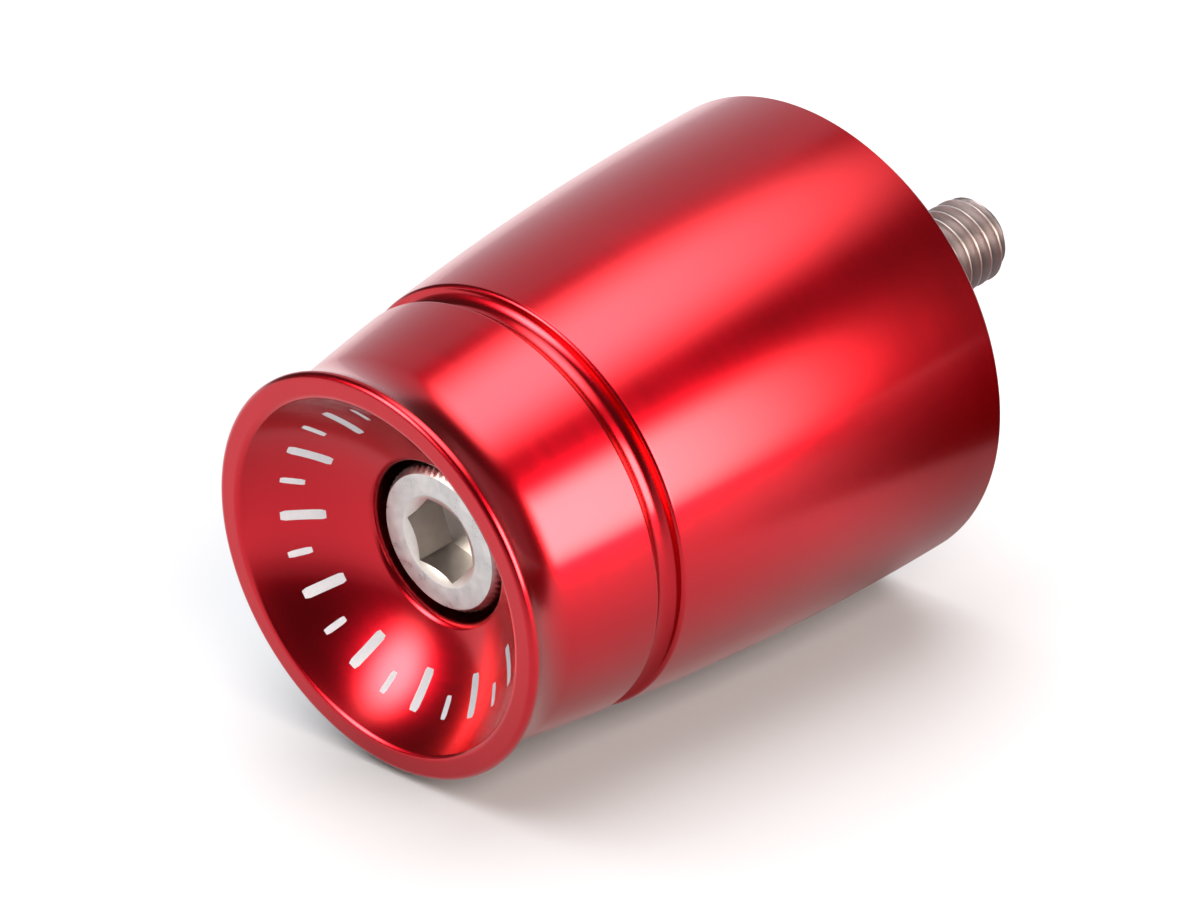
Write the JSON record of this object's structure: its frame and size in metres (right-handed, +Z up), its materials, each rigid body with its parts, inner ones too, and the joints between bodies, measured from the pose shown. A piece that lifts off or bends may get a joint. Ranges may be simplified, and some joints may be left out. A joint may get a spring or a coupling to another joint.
{
  "type": "bar end weight",
  "caption": "Turned, anodised bar end weight with a flared and dished nose and a ring groove, and the socket cap screw that holds it.",
  "frame": {"origin": "centre of the rear seat face, on the turning axis", "axes": "+Y along the turning axis, out of the rear seat face towards the handlebar; the dished nose looks along -Y; +Z is up"},
  "size_m": [0.0324, 0.0567, 0.0324],
  "materials": {
    "anodised_aluminium": "red anodised, satin turned",
    "stainless_steel": "plain stainless steel"
  },
  "bodies": {
    "root": {"weight_body": "anodised_aluminium", "screw": "stainless_steel"}
  },
  "joints": []
}
